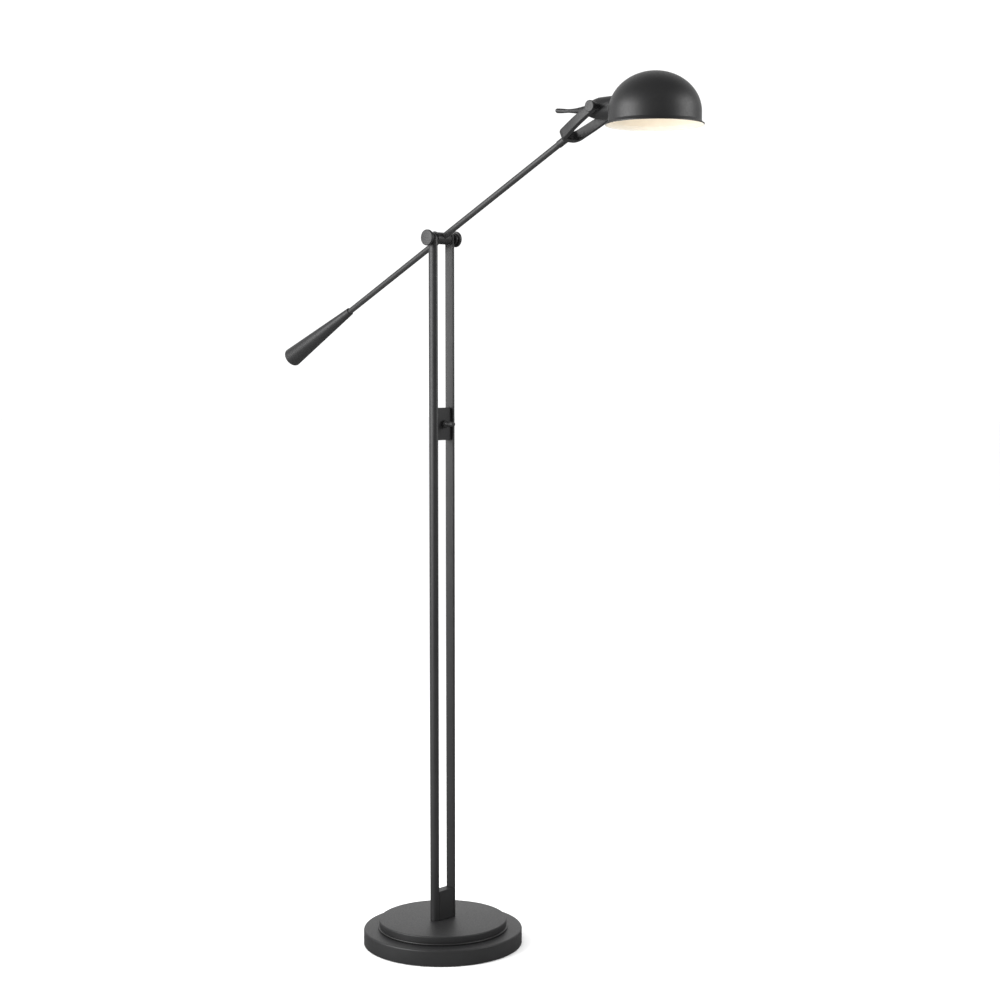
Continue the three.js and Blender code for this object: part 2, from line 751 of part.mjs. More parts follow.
function lampSocket() {
  const profile = [
    [0, SOCKET_BACK],
    [8, SOCKET_BACK],
    [SOCKET_RADIUS, SOCKET_BACK + 4],
    [SOCKET_RADIUS, SOCKET_FRONT],
    [0, SOCKET_FRONT],
  ];
  return turned(profile, "x", 28).subtract(bar(BULB_BASE_RADIUS + GAP, 24, SOCKET_FRONT + 1, "x", 24));
}

// Ring screwed onto the socket inside the dome, which clamps the dome against the cup.
function shadeRing() {
  return tube(14.5, SOCKET_RADIUS + GAP, 43.5, 47.5, "x", 24);
}

function bulbBase() {
  return bar(BULB_BASE_RADIUS, 24.5, SOCKET_FRONT + 2, "x", 24);
}

const BULB_RADIUS = 19;

function bulbGlass() {
  const neck = SOCKET_FRONT + 2 + GAP;
  const centre = neck + 30;
  const globe = arc(0, centre, BULB_RADIUS, BULB_RADIUS, -60, 90, 8);
  globe[globe.length - 1] = [0, centre + BULB_RADIUS];
  return turned([[0, neck], [6.2, neck], [7, neck + 7], ...globe], "x", 24);
}

function buildHead(group) {
  place(group, "socket_cup", socketCup(), black);
  place(group, "tail_handle", tailHandle(), black);
  place(group, "shade", shade(), black);
  place(group, "shade_ring", shadeRing(), brass);
  place(group, "lamp_socket", lampSocket(), ceramic);
  place(group, "bulb_base", bulbBase(), brass);
  place(group, "bulb_glass", bulbGlass(), opalGlass);
  for (const { name, side } of SIDES) {
    place(group, `tilt_screw_${name}`, tiltScrew(side), black);
    const spacer = ringAcross(side, 5.5, TILT_BOLT_RADIUS + GAP, CUP_RADIUS + GAP, FORK_INNER - GAP);
    place(group, `tilt_spacer_${name}`, spacer, black);
  }
}

// ---- the whole lamp ----------------------------------------------------------------------------------

const lamp = new THREE.Group();

const stand = new THREE.Group();
buildBase(stand);
buildUprights(stand);
buildSwitch(stand);
lamp.add(stand);

const boom = new THREE.Group();
boom.position.set(0, 0, KNUCKLE_Z);
boom.rotation.y = -BOOM_ANGLE;
buildBoom(boom);
lamp.add(boom);

const head = new THREE.Group();
head.position.set(
  HEAD_REACH * Math.cos(BOOM_ANGLE),
  0,
  KNUCKLE_Z + HEAD_REACH * Math.sin(BOOM_ANGLE),
);
buildHead(head);
lamp.add(head);

export default lamp;
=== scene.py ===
import json
import math

import bmesh
import bpy
from mathutils import Matrix, Vector


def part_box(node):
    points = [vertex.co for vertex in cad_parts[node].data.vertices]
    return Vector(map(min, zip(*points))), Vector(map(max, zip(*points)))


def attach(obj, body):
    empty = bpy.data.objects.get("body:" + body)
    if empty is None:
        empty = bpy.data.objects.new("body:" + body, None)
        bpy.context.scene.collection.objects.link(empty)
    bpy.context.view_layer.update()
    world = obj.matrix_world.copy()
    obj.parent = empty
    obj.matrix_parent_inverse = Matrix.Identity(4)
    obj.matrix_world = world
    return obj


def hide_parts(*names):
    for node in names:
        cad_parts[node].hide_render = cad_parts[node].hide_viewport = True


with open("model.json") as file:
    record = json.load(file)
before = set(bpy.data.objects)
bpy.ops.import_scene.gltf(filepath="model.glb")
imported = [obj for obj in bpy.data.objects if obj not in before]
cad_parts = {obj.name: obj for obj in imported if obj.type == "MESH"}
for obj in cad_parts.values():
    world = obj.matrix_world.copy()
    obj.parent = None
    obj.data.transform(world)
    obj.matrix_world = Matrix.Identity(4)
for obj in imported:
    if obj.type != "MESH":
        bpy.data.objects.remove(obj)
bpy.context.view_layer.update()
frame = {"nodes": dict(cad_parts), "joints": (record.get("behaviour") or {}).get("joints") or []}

MM = 0.001
GAP = 0.3 * MM                    # clearance between neighbouring parts
WELD = 1e-6                       # points closer than this are one point
ON_AXIS = 1e-7                    # a smaller radius is a point on the axis
SMOOTH_ANGLE = math.radians(38)   # flatter edges are shaded smooth
EDGE_ANGLE = math.radians(32)     # sharper edges get a bevel

# ---- places worked out from the frame --------------------------------------------------------

joints = {joint["name"]: joint for joint in frame["joints"]}
KNUCKLE = Vector(joints["boom_tilt"]["pos_m"])
TILT = Vector(joints["head_tilt"]["pos_m"])
REACH = (TILT - KNUCKLE).length
BOOM_ANGLE = math.atan2(TILT.z - KNUCKLE.z, TILT.x - KNUCKLE.x)

AT_FLOOR = Matrix.Identity(4)
AT_KNUCKLE = Matrix.Translation(KNUCKLE) @ Matrix.Rotation(-BOOM_ANGLE, 4, "Y")
AT_TILT = Matrix.Translation(TILT)
SIDES = ((-1, "near"), (1, "far"))


def size(node):
    low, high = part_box(node)
    return high - low


# ---- mesh helpers, all in metres --------------------------------------------------------------


def finish_mesh(name, bm, place, body, look, nodes):
    """Turns a bmesh into a shown piece that stands for its CAD nodes and rides on their body."""
    bmesh.ops.remove_doubles(bm, verts=bm.verts, dist=WELD)
    bmesh.ops.recalc_face_normals(bm, faces=bm.faces)
    mesh = bpy.data.meshes.new(name)
    bm.to_mesh(mesh)
    bm.free()
    mesh.polygons.foreach_set("use_smooth", [True] * len(mesh.polygons))
    mesh.set_sharp_from_angle(angle=SMOOTH_ANGLE)
    piece = bpy.data.objects.new(name, mesh)
    bpy.context.scene.collection.objects.link(piece)
    piece.matrix_world = place
    for material in look if isinstance(look, list) else [look]:
        mesh.materials.append(material)
    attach(piece, body)
    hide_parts(*nodes)
    return piece


def arc(cx, cy, radius, start, end, steps, radius_y=None):
    """Points of a round stretch, from one angle to another in degrees."""
    tall = radius if radius_y is None else radius_y
    angles = [math.radians(start + (end - start) * i / steps) for i in range(steps + 1)]
    return [(cx + radius * math.cos(a), cy + tall * math.sin(a)) for a in angles]


def rounded(corners, steps=4):
    """An outline whose corners (x, y, radius) become arcs. A corner without a radius stays sharp."""
    points = []
    for i, corner in enumerate(corners):
        here = Vector(corner[:2])
        radius = corner[2] if len(corner) > 2 else 0
        if radius == 0:
            points.append(tuple(here))
            continue
        back = (Vector(corners[i - 1][:2]) - here).normalized()
        ahead = (Vector(corners[(i + 1) % len(corners)][:2]) - here).normalized()
        half = back.angle(ahead) / 2
        cut = radius / math.tan(half)
        centre = here + (back + ahead).normalized() * (radius / math.sin(half))
        first = here + back * cut - centre
        last = here + ahead * cut - centre
        sweep = first.angle_signed(last)
        for k in range(steps + 1):
            turn = Matrix.Rotation(-sweep * k / steps, 2)
            points.append(tuple(centre + turn @ first))
    return points


AXES = {
    "z": lambda r, h, a: (r * math.cos(a), r * math.sin(a), h),
    "x": lambda r, h, a: (h, r * math.cos(a), r * math.sin(a)),
    "y": lambda r, h, a: (r * math.sin(a), h, r * math.cos(a)),
}


def turn_into(bm, profile, axis="z", segments=96, at=(0, 0, 0), closed=False, slot_of=None):
    """Adds a turned piece. Profile points are (radius, distance along the axis).

    A closed profile makes a ring. slot_of gives the material slot of each stretch of the profile.
    """
    shift = Vector(at)
    rings = []
    for radius, along in profile:
        count = 1 if radius < ON_AXIS else segments
        ring = []
        for k in range(count):
            angle = 2 * math.pi * k / segments
            ring.append(bm.verts.new(shift + Vector(AXES[axis](radius, along, angle))))
        rings.append(ring)
    pairs = list(zip(rings, rings[1:]))
    if closed:
        pairs.append((rings[-1], rings[0]))
    for index, (low, high) in enumerate(pairs):
        for k in range(segments):
            after = (k + 1) % segments
            lower = [low[k % len(low)], low[after % len(low)]]
            upper = [high[after % len(high)], high[k % len(high)]]
            corners = list(dict.fromkeys(lower + upper))
            if len(corners) > 2:
                face = bm.faces.new(corners)
                if slot_of:
                    face.material_index = slot_of(index)
    return bm


def turned(name, profile, axis, place, body, look, nodes, segments=96, at=(0, 0, 0), closed=False):
    """Makes a turned piece of its own."""
    bm = turn_into(bmesh.new(), profile, axis, segments, at, closed)
    finish_mesh(name, bm, place, body, look, nodes)


def mirrored(profile):
    """The same turned profile on the other side of the middle plane."""
    return [(radius, -along) for radius, along in profile]


def loft(bm, loops):
    """Skins a row of loops that all have the same number of points, and closes both ends."""
    rows = [[bm.verts.new(Vector(p)) for p in loop] for loop in loops]
    for low, high in zip(rows, rows[1:]):
        count = len(low)
        for k in range(count):
            after = (k + 1) % count
            bm.faces.new([low[k], low[after], high[after], high[k]])
    bm.faces.new(list(reversed(rows[0])))
    bm.faces.new(rows[-1])
    return bm


def box_into(bm, low, high):
    """Adds a box between two corners."""
    xs, ys, zs = zip(low, high)
    corners = [bm.verts.new((x, y, z)) for z in zs for y in ys for x in xs]
    level = ((0, 1, 3, 2), (4, 6, 7, 5))
    upright = ((0, 4, 5, 1), (2, 3, 7, 6), (0, 2, 6, 4), (1, 5, 7, 3))
    for face in level + upright:
        bm.faces.new([corners[i] for i in face])
    return bm


def soften(piece, width, segments=3):
    """Rounds a piece's edges with a small bevel, so that they catch the light."""
    bevel = piece.modifiers.new("edges", "BEVEL")
    bevel.width = width
    bevel.segments = segments
    bevel.limit_method = "ANGLE"
    bevel.angle_limit = EDGE_ANGLE
    bevel.harden_normals = True


def union(piece, parts):
    """Joins other closed bmeshes to a piece's mesh, and keeps the result as its mesh."""
    helpers = []
    for index, bm in enumerate(parts):
        mesh = bpy.data.meshes.new(f"helper_{index}")
        bmesh.ops.recalc_face_normals(bm, faces=bm.faces)
        bm.to_mesh(mesh)
        bm.free()
        helper = bpy.data.objects.new(f"helper_{index}", mesh)
        bpy.context.scene.collection.objects.link(helper)
        helper.matrix_world = piece.matrix_world
        helpers.append(helper)
        join = piece.modifiers.new(f"join_{index}", "BOOLEAN")
        join.operation = "UNION"
        join.solver = "EXACT"
        join.object = helper
    bpy.context.view_layer.update()
    graph = bpy.context.evaluated_depsgraph_get()
    merged = bpy.data.meshes.new_from_object(piece.evaluated_get(graph))
    piece.modifiers.clear()
    piece.data = merged
    merged.polygons.foreach_set("use_smooth", [True] * len(merged.polygons))
    merged.set_sharp_from_angle(angle=SMOOTH_ANGLE)
    for helper in helpers:
        bpy.data.objects.remove(helper)


# ---- materials -------------------------------------------------------------------------------

BLACK_DARK = (0.009, 0.009, 0.0095)
BLACK_LIGHT = (0.013, 0.013, 0.0135)
# paler colour put on convex edges: a painted edge highlight
BLACK_EDGE_HIGHLIGHT = (0.03, 0.03, 0.03)
COAT_ROUGH = 0.46
ENAMEL_DARK = (0.66, 0.62, 0.54)
ENAMEL_LIGHT = (0.72, 0.68, 0.6)
GLOW_DEEP = (1.0, 0.74, 0.45)
GLOW_PALE = (1.0, 0.8, 0.54)
OPAL_DARK = (0.9, 0.87, 0.8)
OPAL_LIGHT = (0.95, 0.93, 0.88)
BULB_GLOW = 2.0


def new_material(name):
    material = bpy.data.materials.new(name)
    material.use_nodes = True
    nodes = material.node_tree.nodes
    return material, nodes, material.node_tree.links, nodes["Principled BSDF"]


def noise(nodes, links, coordinates, scale, detail=3.0, roughness=0.55):
    texture = nodes.new("ShaderNodeTexNoise")
    texture.inputs["Scale"].default_value = scale
    texture.inputs["Detail"].default_value = detail
    texture.inputs["Roughness"].default_value = roughness
    links.new(coordinates, texture.inputs["Vector"])
    return texture.outputs["Fac"]


def ranged(nodes, links, value, low, high, from_low=0.3, from_high=0.7):
    """Spreads a texture value over a range."""
    spread = nodes.new("ShaderNodeMapRange")
    spread.inputs["From Min"].default_value = from_low
    spread.inputs["From Max"].default_value = from_high
    spread.inputs["To Min"].default_value = low
    spread.inputs["To Max"].default_value = high
    links.new(value, spread.inputs["Value"])
    return spread.outputs["Result"]


def colour_between(nodes, links, value, first, second):
    mix = nodes.new("ShaderNodeMix")
    mix.data_type = "RGBA"
    mix.inputs["A"].default_value = (*first, 1)
    mix.inputs["B"].default_value = (*second, 1)
    links.new(value, mix.inputs["Factor"])
    return mix.outputs["Result"]


def patches(nodes, links, where, dark, light, scale, detail):
    """Two near colours that drift into each other."""
    drift = noise(nodes, links, where, scale, detail)
    return colour_between(nodes, links, ranged(nodes, links, drift, 0, 1), dark, light)


def bump(nodes, links, value, shader, distance, strength):
    relief = nodes.new("ShaderNodeBump")
    relief.inputs["Distance"].default_value = distance
    relief.inputs["Strength"].default_value = strength
    links.new(value, relief.inputs["Height"])
    links.new(relief.outputs["Normal"], shader.inputs["Normal"])


def object_coordinates(nodes):
    return nodes.new("ShaderNodeTexCoord").outputs["Object"]


def powder_coat():
    """Satin black powder coat: fine orange peel, a drift in sheen, and convex edges painted slightly
    paler as a highlight.
    """
    material, nodes, links, shader = new_material("black_powder_coat")
    where = object_coordinates(nodes)
    base = patches(nodes, links, where, BLACK_DARK, BLACK_LIGHT, scale=14, detail=4)
    # convex edges are painted paler here: a painted highlight along every edge
    edge = nodes.new("ShaderNodeNewGeometry").outputs["Pointiness"]
    painted_highlight = ranged(nodes, links, edge, low=0, high=0.35, from_low=0.53, from_high=0.6)
    mix = nodes.new("ShaderNodeMix")
    mix.data_type = "RGBA"
    mix.inputs["B"].default_value = (*BLACK_EDGE_HIGHLIGHT, 1)
    links.new(painted_highlight, mix.inputs["Factor"])
    links.new(base, mix.inputs["A"])
    links.new(mix.outputs["Result"], shader.inputs["Base Color"])
    dust = noise(nodes, links, where, scale=420, detail=2)
    sheen = ranged(nodes, links, dust, low=COAT_ROUGH - 0.05, high=COAT_ROUGH + 0.06)
    links.new(sheen, shader.inputs["Roughness"])
    peel = noise(nodes, links, where, scale=1500, detail=2, roughness=0.5)
    bump(nodes, links, peel, shader, distance=0.06 * MM, strength=0.55)
    return material


def shade_white():
    """Satin white enamel inside the shade."""
    material, nodes, links, shader = new_material("shade_white_enamel")
    where = object_coordinates(nodes)
    tint = patches(nodes, links, where, ENAMEL_DARK, ENAMEL_LIGHT, scale=18, detail=3)
    links.new(tint, shader.inputs["Base Color"])
    sheen = ranged(nodes, links, noise(nodes, links, where, scale=300), low=0.38, high=0.5)
    links.new(sheen, shader.inputs["Roughness"])
    texture = noise(nodes, links, where, scale=1100, detail=2)
    bump(nodes, links, texture, shader, distance=0.05 * MM, strength=0.4)
    return material


def metal(name, dark, light, rough, grain):
    """Turned or plated metal with fine streaks in its sheen."""
    material, nodes, links, shader = new_material(name)
    where = object_coordinates(nodes)
    tint = patches(nodes, links, where, dark, light, scale=60, detail=4)
    links.new(tint, shader.inputs["Base Color"])
    shader.inputs["Metallic"].default_value = 1.0
    streaks = noise(nodes, links, where, grain)
    links.new(ranged(nodes, links, streaks, rough - 0.08, rough + 0.1), shader.inputs["Roughness"])
    bump(nodes, links, streaks, shader, distance=0.03 * MM, strength=0.35)
    return material


def dielectric(name, dark, light, rough, grain, relief):
    """Plastic, rubber or glazed ceramic with a fine grain."""
    material, nodes, links, shader = new_material(name)
    where = object_coordinates(nodes)
    tint = patches(nodes, links, where, dark, light, scale=40, detail=3)
    links.new(tint, shader.inputs["Base Color"])
    fine = noise(nodes, links, where, grain)
    links.new(ranged(nodes, links, fine, rough - 0.06, rough + 0.06), shader.inputs["Roughness"])
    bump(nodes, links, fine, shader, relief, strength=0.6)
    return material


def lit_glass():
    """Opal glass of a lit bulb: warm, and a little uneven."""
    material, nodes, links, shader = new_material("opal_glass_lit")
    where = object_coordinates(nodes)
    cloud = ranged(nodes, links, noise(nodes, links, where, scale=55, detail=2), 0, 1)
    glow = colour_between(nodes, links, cloud, GLOW_DEEP, GLOW_PALE)
    links.new(glow, shader.inputs["Emission Color"])
    shader.inputs["Emission Strength"].default_value = BULB_GLOW
    opal = colour_between(nodes, links, cloud, OPAL_DARK, OPAL_LIGHT)
    links.new(opal, shader.inputs["Base Color"])
    shader.inputs["Roughness"].default_value = 0.25
    return material


BLACK = powder_coat()
WHITE = shade_white()
STEEL = metal("zinc_steel", (0.42, 0.42, 0.41), (0.56, 0.56, 0.54), 0.34, 900)
IRON = metal("cast_iron", (0.07, 0.07, 0.07), (0.11, 0.108, 0.105), 0.7, 500)
BRASS = metal("brass", (0.62, 0.44, 0.18), (0.74, 0.55, 0.27), 0.3, 700)
PLASTIC = dielectric("black_plastic", (0.012,) * 3, (0.02,) * 3, 0.45, 900, 0.04 * MM)
RUBBER = dielectric("black_rubber", (0.01,) * 3, (0.018,) * 3, 0.8, 700, 0.08 * MM)
CERAMIC = dielectric("white_ceramic", (0.74, 0.71, 0.64), (0.8, 0.78, 0.72), 0.22, 200, 0.03 * MM)
GLASS = lit_glass()

# ---- base ------------------------------------------------------------------------------------

SHEET = 1.5 * MM
COVER_BORE = 10 * MM
BEAD_RADIUS = 1.5 * MM
BEAD_PROUD = 2 * MM
BASE_SEGMENTS = 192


def make_base():
    low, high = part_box("base_lower_cover")
    rim = high.x
    lower = rounded(
        [
            (rim - SHEET, low.z),
            (rim, low.z, 0.5 * MM),
            (rim, high.z, 2.6 * MM),
            (COVER_BORE, high.z),
            (COVER_BORE, high.z - SHEET),
            (rim - SHEET, high.z - SHEET),
        ],
        steps=8,
    )
    turned("base_lower_shell", lower, "z", AT_FLOOR, "stand", BLACK, ["base_lower_cover"],
           BASE_SEGMENTS, closed=True)
    low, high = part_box("base_upper_cover")
    tier = high.x - BEAD_PROUD
    centre = low.z + BEAD_RADIUS
    edge = [(tier, centre + 1.6 * MM, 0.5 * MM), (tier, high.z, 1.9 * MM), (COVER_BORE, high.z)]
    upper = (
        [(tier - SHEET, low.z)]
        + arc(high.x - BEAD_RADIUS, centre, BEAD_RADIUS, -90, 75, 10)
        + rounded(edge, steps=8)
        + [(COVER_BORE, high.z - SHEET), (tier - SHEET, high.z - SHEET)]
    )
    turned("base_upper_shell", upper, "z", AT_FLOOR, "stand", BLACK, ["base_upper_cover"],
           BASE_SEGMENTS, closed=True)
    low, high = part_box("base_pad")
    edge = 0.5 * MM
    pad = rounded([(0, low.z), (high.x, low.z, edge), (high.x, high.z, edge), (0, high.z)])
    turned("base_foot_pad", pad, "z", AT_FLOOR, "stand", RUBBER, ["base_pad"], 128)
    make_bushing()


def make_bushing():
    """Grommet at the back of the base, with a flange outside the cover."""
    low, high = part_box("cord_bushing")
    middle = (low.z + high.z) / 2
    bore, neck, flange = 2.6 * MM, 4 * MM, 6 * MM
    inside = low.x + 2.3 * MM
    bushing = rounded(
        [
            (bore, low.x),
            (4.8 * MM, low.x, 0.7 * MM),
            (flange, low.x + 1.2 * MM, 0.5 * MM),
            (flange, inside),
            (neck, inside),
            (neck, high.x),
            (bore, high.x),
        ]
    )
    turned("cord_exit_bushing", bushing, "x", AT_FLOOR, "stand", RUBBER, ["cord_bushing"], 48,
           at=(0, 0, middle), closed=True)


# ---- uprights --------------------------------------------------------------------------------

POST_STEPS = 40
POST_EDGE = 0.6 * MM


def make_post(side, name):
    """Half-round post, flat side inwards, its top rounded about the knuckle's axis."""
    low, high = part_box(f"post_{name}")
    radius = (high.x - low.x) / 2
    flat = low.y if side > 0 else high.y
    bm = bmesh.new()
    foot, crest, inner = [], [], []
    for k in range(POST_STEPS + 1):
        angle = math.pi * k / POST_STEPS
        x, out = radius * math.cos(angle), radius * math.sin(angle)
        foot.append(bm.verts.new((x, flat + side * out, low.z)))
        crest.append(bm.verts.new((x, flat + side * out, KNUCKLE.z + out)))
        at_edge = k in (0, POST_STEPS)
        inner.append(crest[-1] if at_edge else bm.verts.new((x, flat, KNUCKLE.z + out)))
    for k in range(POST_STEPS):
        bm.faces.new([foot[k], foot[k + 1], crest[k + 1], crest[k]])
        strip = list(dict.fromkeys([crest[k], crest[k + 1], inner[k + 1], inner[k]]))
        if len(strip) > 2:
            bm.faces.new(strip)
    bm.faces.new(foot)
    bm.faces.new([foot[0], *inner, foot[-1]])
    piece = finish_mesh(f"upright_{name}", bm, AT_FLOOR, "stand", BLACK, [f"post_{name}"])
    soften(piece, POST_EDGE)


def make_block(name, node, edge):
    """A plain block of the stand with eased edges."""
    bm = box_into(bmesh.new(), *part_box(node))
    soften(finish_mesh(name, bm, AT_FLOOR, "stand", BLACK, [node]), edge, 4)


SWITCH_WALL = 1.8 * MM
GRIP_RADIUS = 4 * MM
GROOVES = 16
GROOVE_DEPTH = 0.2 * MM
RING_NUT_BORE = 3.7 * MM


def make_switch_box():
    """Box open at the back, where its cover sits in the opening."""
    low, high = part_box("switch_housing")
    bm = box_into(bmesh.new(), low, high)
    bmesh.ops.recalc_face_normals(bm, faces=bm.faces)
    back = [face for face in bm.faces if face.normal.x < -0.9]
    bmesh.ops.inset_region(bm, faces=back, thickness=SWITCH_WALL, use_even_offset=True)
    for vert in back[0].verts:
        vert.co.x = high.x - SWITCH_WALL
    piece = finish_mesh("switch_box", bm, AT_FLOOR, "stand", BLACK, ["switch_housing"])
    soften(piece, 0.5 * MM, 4)


def make_switch():
    make_switch_box()
    make_block("switch_box_cover", "switch_back_cover", 0.3 * MM)
    low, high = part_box("switch_knob")
    middle = Vector((0, 0, (low.z + high.z) / 2))
    radius = (high.z - low.z) / 2
    knob = rounded(
        [
            (0, low.x),
            (radius, low.x, 0.3 * MM),
            (radius, low.x + 3.4 * MM, 0.6 * MM),
            (GRIP_RADIUS + 0.4 * MM, low.x + 4.6 * MM, 0.6 * MM),
            (GRIP_RADIUS, low.x + 6 * MM),
            (GRIP_RADIUS, low.x + 10 * MM),
            (GRIP_RADIUS, high.x, 1.6 * MM),
            (0, high.x),
        ]
    )
    bm = turn_into(bmesh.new(), knob, "x", 96, middle)
    flute(bm, low.x + 5 * MM, high.x - 1.2 * MM, middle.z)
    finish_mesh("switch_knob_grip", bm, AT_FLOOR, "knob", BLACK, ["switch_knob"])
    low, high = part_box("switch_nut")
    radius = (high.z - low.z) / 2
    nut = rounded(
        [
            (RING_NUT_BORE, low.x),
            (radius, low.x, 0.2 * MM),
            (radius, high.x - 0.6 * MM, 0.3 * MM),
            (radius - 0.6 * MM, high.x, 0.2 * MM),
            (RING_NUT_BORE, high.x),
        ]
    )
    turned("switch_ring_nut", nut, "x", AT_FLOOR, "stand", BLACK, ["switch_nut"], 64, at=middle,
           closed=True)


def flute(bm, start, end, centre_z):
    """Sinks grooves into the knob's grip between two places along x."""
    for vert in bm.verts:
        y, z = vert.co.y, vert.co.z - centre_z
        across = math.hypot(y, z)
        if start < vert.co.x < end and across > GRIP_RADIUS - 0.6 * MM:
            depth = GROOVE_DEPTH * (0.5 + 0.5 * math.cos(GROOVES * math.atan2(z, y)))
            scale = (across - depth) / across
            vert.co.y = y * scale
            vert.co.z = centre_z + z * scale


# ---- knuckle and boom ------------------------------------------------------------------------

BOLT_ROOT = 6.6 * MM
BOLT_RADIUS = 4 * MM
CAP_THICK = 4.4 * MM
WASHER_BORE = 4.3 * MM


def make_knuckle():
    half = size("pivot_barrel").y / 2
    radius = size("pivot_barrel").x / 2
    edge = 0.6 * MM
    barrel = rounded([(0, -half), (radius, -half, edge), (radius, half, edge), (0, half)])
    turned("knuckle_barrel", barrel, "y", AT_KNUCKLE, "boom", BLACK, ["pivot_barrel"])
    for side, name in SIDES:
        low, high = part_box(f"pivot_bolt_{name}")
        face = max(abs(low.y), abs(high.y))
        cap_radius = (high.x - low.x) / 2
        inner = face - CAP_THICK
        cap = rounded(
            [
                (0, BOLT_ROOT),
                (BOLT_RADIUS, BOLT_ROOT),
                (BOLT_RADIUS, inner),
                (cap_radius, inner, 0.5 * MM),
                (cap_radius, face, 1.0 * MM),
                (0, face),
            ],
            6,
        )
        profile = cap if side > 0 else mirrored(cap)
        turned(f"knuckle_cap_{name}", profile, "y", AT_KNUCKLE, "boom", BLACK, [f"pivot_bolt_{name}"])
        for node, piece, look in (
            (f"friction_washer_{name}", f"friction_disc_{name}", PLASTIC),
            (f"spring_washer_{name}", f"spring_disc_{name}", BLACK),
        ):
            make_ring(piece, node, look, WASHER_BORE, "boom", AT_KNUCKLE)


def make_ring(piece, node, look, bore, body, place):
    """Flat ring across the lamp, as thick and as wide as its CAD node."""
    low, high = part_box(node)
    outer = (high.z - low.z) / 2
    edge = min(0.3 * MM, (high.y - low.y) / 3)
    ring = [(bore, low.y), (outer, low.y, edge), (outer, high.y, edge), (bore, high.y)]
    turned(piece, rounded(ring, 3), "y", place, body, look, [node], 64, closed=True)


ROD_RADIUS = 4.75 * MM
WEIGHT_START = 240 * MM
WEIGHT_END = 406 * MM
WEIGHT_THICK = 16 * MM
WEIGHT_NECK = 6.4 * MM
WEIGHT_SOCKET = 4 * MM
ROD_IN_WEIGHT = 17 * MM
FERRULE_START = 275 * MM
FERRULE_END = 292.4 * MM
FERRULE_RADIUS = 5.6 * MM
ROD_SHORT_OF_FERRULE = 6 * MM


def make_boom():
    tail, tip = -WEIGHT_START - ROD_IN_WEIGHT, FERRULE_END - ROD_SHORT_OF_FERRULE
    rod = rounded([(0, tail), (ROD_RADIUS, tail), (ROD_RADIUS, tip), (0, tip)])
    turned("boom_tube", rod, "x", AT_KNUCKLE, "boom", BLACK, ["boom_rod"], 64)
    socket = ROD_RADIUS + 0.1 * MM
    weight = rounded(
        [
            (0, -WEIGHT_END),
            (WEIGHT_THICK, -WEIGHT_END, 2.2 * MM),
            (WEIGHT_NECK, -WEIGHT_START, 0.6 * MM),
            (socket, -WEIGHT_START),
            (socket, -WEIGHT_START - WEIGHT_SOCKET),
            (0, -WEIGHT_START - WEIGHT_SOCKET),
        ],
        8,
    )
    turned("counterweight_cone", weight, "x", AT_KNUCKLE, "boom", BLACK, ["counterweight"], 128)
    ferrule = rounded(
        [
            (ROD_RADIUS, FERRULE_START),
            (FERRULE_RADIUS, FERRULE_START, 0.7 * MM),
            (FERRULE_RADIUS, FERRULE_END, 0.3 * MM),
            (ROD_RADIUS, FERRULE_END),
        ]
    )
    turned("boom_end_ferrule", ferrule, "x", AT_KNUCKLE, "boom", BLACK, ["boom_ferrule"], 64,
           closed=True)


FORK_INNER = 22.5 * MM
FORK_MIDDLE = 20 * MM
FORK_ROOT = 14.2 * MM
FORK_THICK = 7 * MM
FORK_WIDTH = 13.4 * MM
FORK_ROOT_WIDTH = 16 * MM
FORK_CORNER = 7 * MM
FORK_SEAT = FERRULE_END + GAP + FORK_THICK
FORK_INNER_EDGE = 0.5 * MM
FORK_OUTER_EDGE = 2.4 * MM
TINE_STEPS = 6
CORNER_STEPS = 16
LEAN_EASE = 1.3                   # how soon the tine reaches its full lean


def fork_section(width):
    """A flat bar's section with eased outer edges: (across, out)."""
    half = width / 2
    return rounded(
        [
            (-half, 0, FORK_INNER_EDGE),
            (half, 0, FORK_INNER_EDGE),
            (half, FORK_THICK, FORK_OUTER_EDGE),
            (-half, FORK_THICK, FORK_OUTER_EDGE),
        ],
        5,
    )


def fork_stations():
    """Places along the fork's near half: a point on its inner face, the way out, and the width."""
    level = REACH - FORK_WIDTH / 2
    bend = FORK_SEAT + FORK_CORNER
    cross = FORK_ROOT - FORK_CORNER
    spread = math.atan2(FORK_MIDDLE - FORK_ROOT, (level - bend) / 2)
    stations = [(Vector((REACH, -FORK_INNER)), -math.pi / 2, FORK_WIDTH)]
    tine = [(level, FORK_INNER), ((level + bend) / 2, FORK_MIDDLE), (bend, FORK_ROOT)]
    for i in range(len(tine) - 1):
        first, last = tine[max(i - 1, 0)], tine[min(i + 2, len(tine) - 1)]
        for k in range(TINE_STEPS):
            t = k / TINE_STEPS
            along, across = (catmull(*values, t) for values in zip(first, tine[i], tine[i + 1], last))
            part = (i + t) / (len(tine) - 1)
            lean = spread * min(1, LEAN_EASE * part)
            width = FORK_WIDTH + (FORK_ROOT_WIDTH - FORK_WIDTH) * part
            stations.append((Vector((along, -across)), -math.pi / 2 - lean, width))
    for k in range(CORNER_STEPS + 1):
        angle = -math.pi / 2 - spread - (math.pi / 2 - spread) * k / CORNER_STEPS
        out = Vector((math.cos(angle), math.sin(angle)))
        stations.append((Vector((bend, -cross)) + out * FORK_CORNER, angle, FORK_ROOT_WIDTH))
    return stations


def fork_loops():
    """Sections along the whole fork, in the boom's frame."""
    loops = []
    for at, angle, width in fork_stations():
        out = Vector((math.cos(angle), math.sin(angle)))
        section = fork_section(width)
        loops.append([(at.x + out.x * o, at.y + out.y * o, across) for across, o in section])
    far = [[(x, -y, across) for x, y, across in loop] for loop in reversed(loops)]
    return loops + far


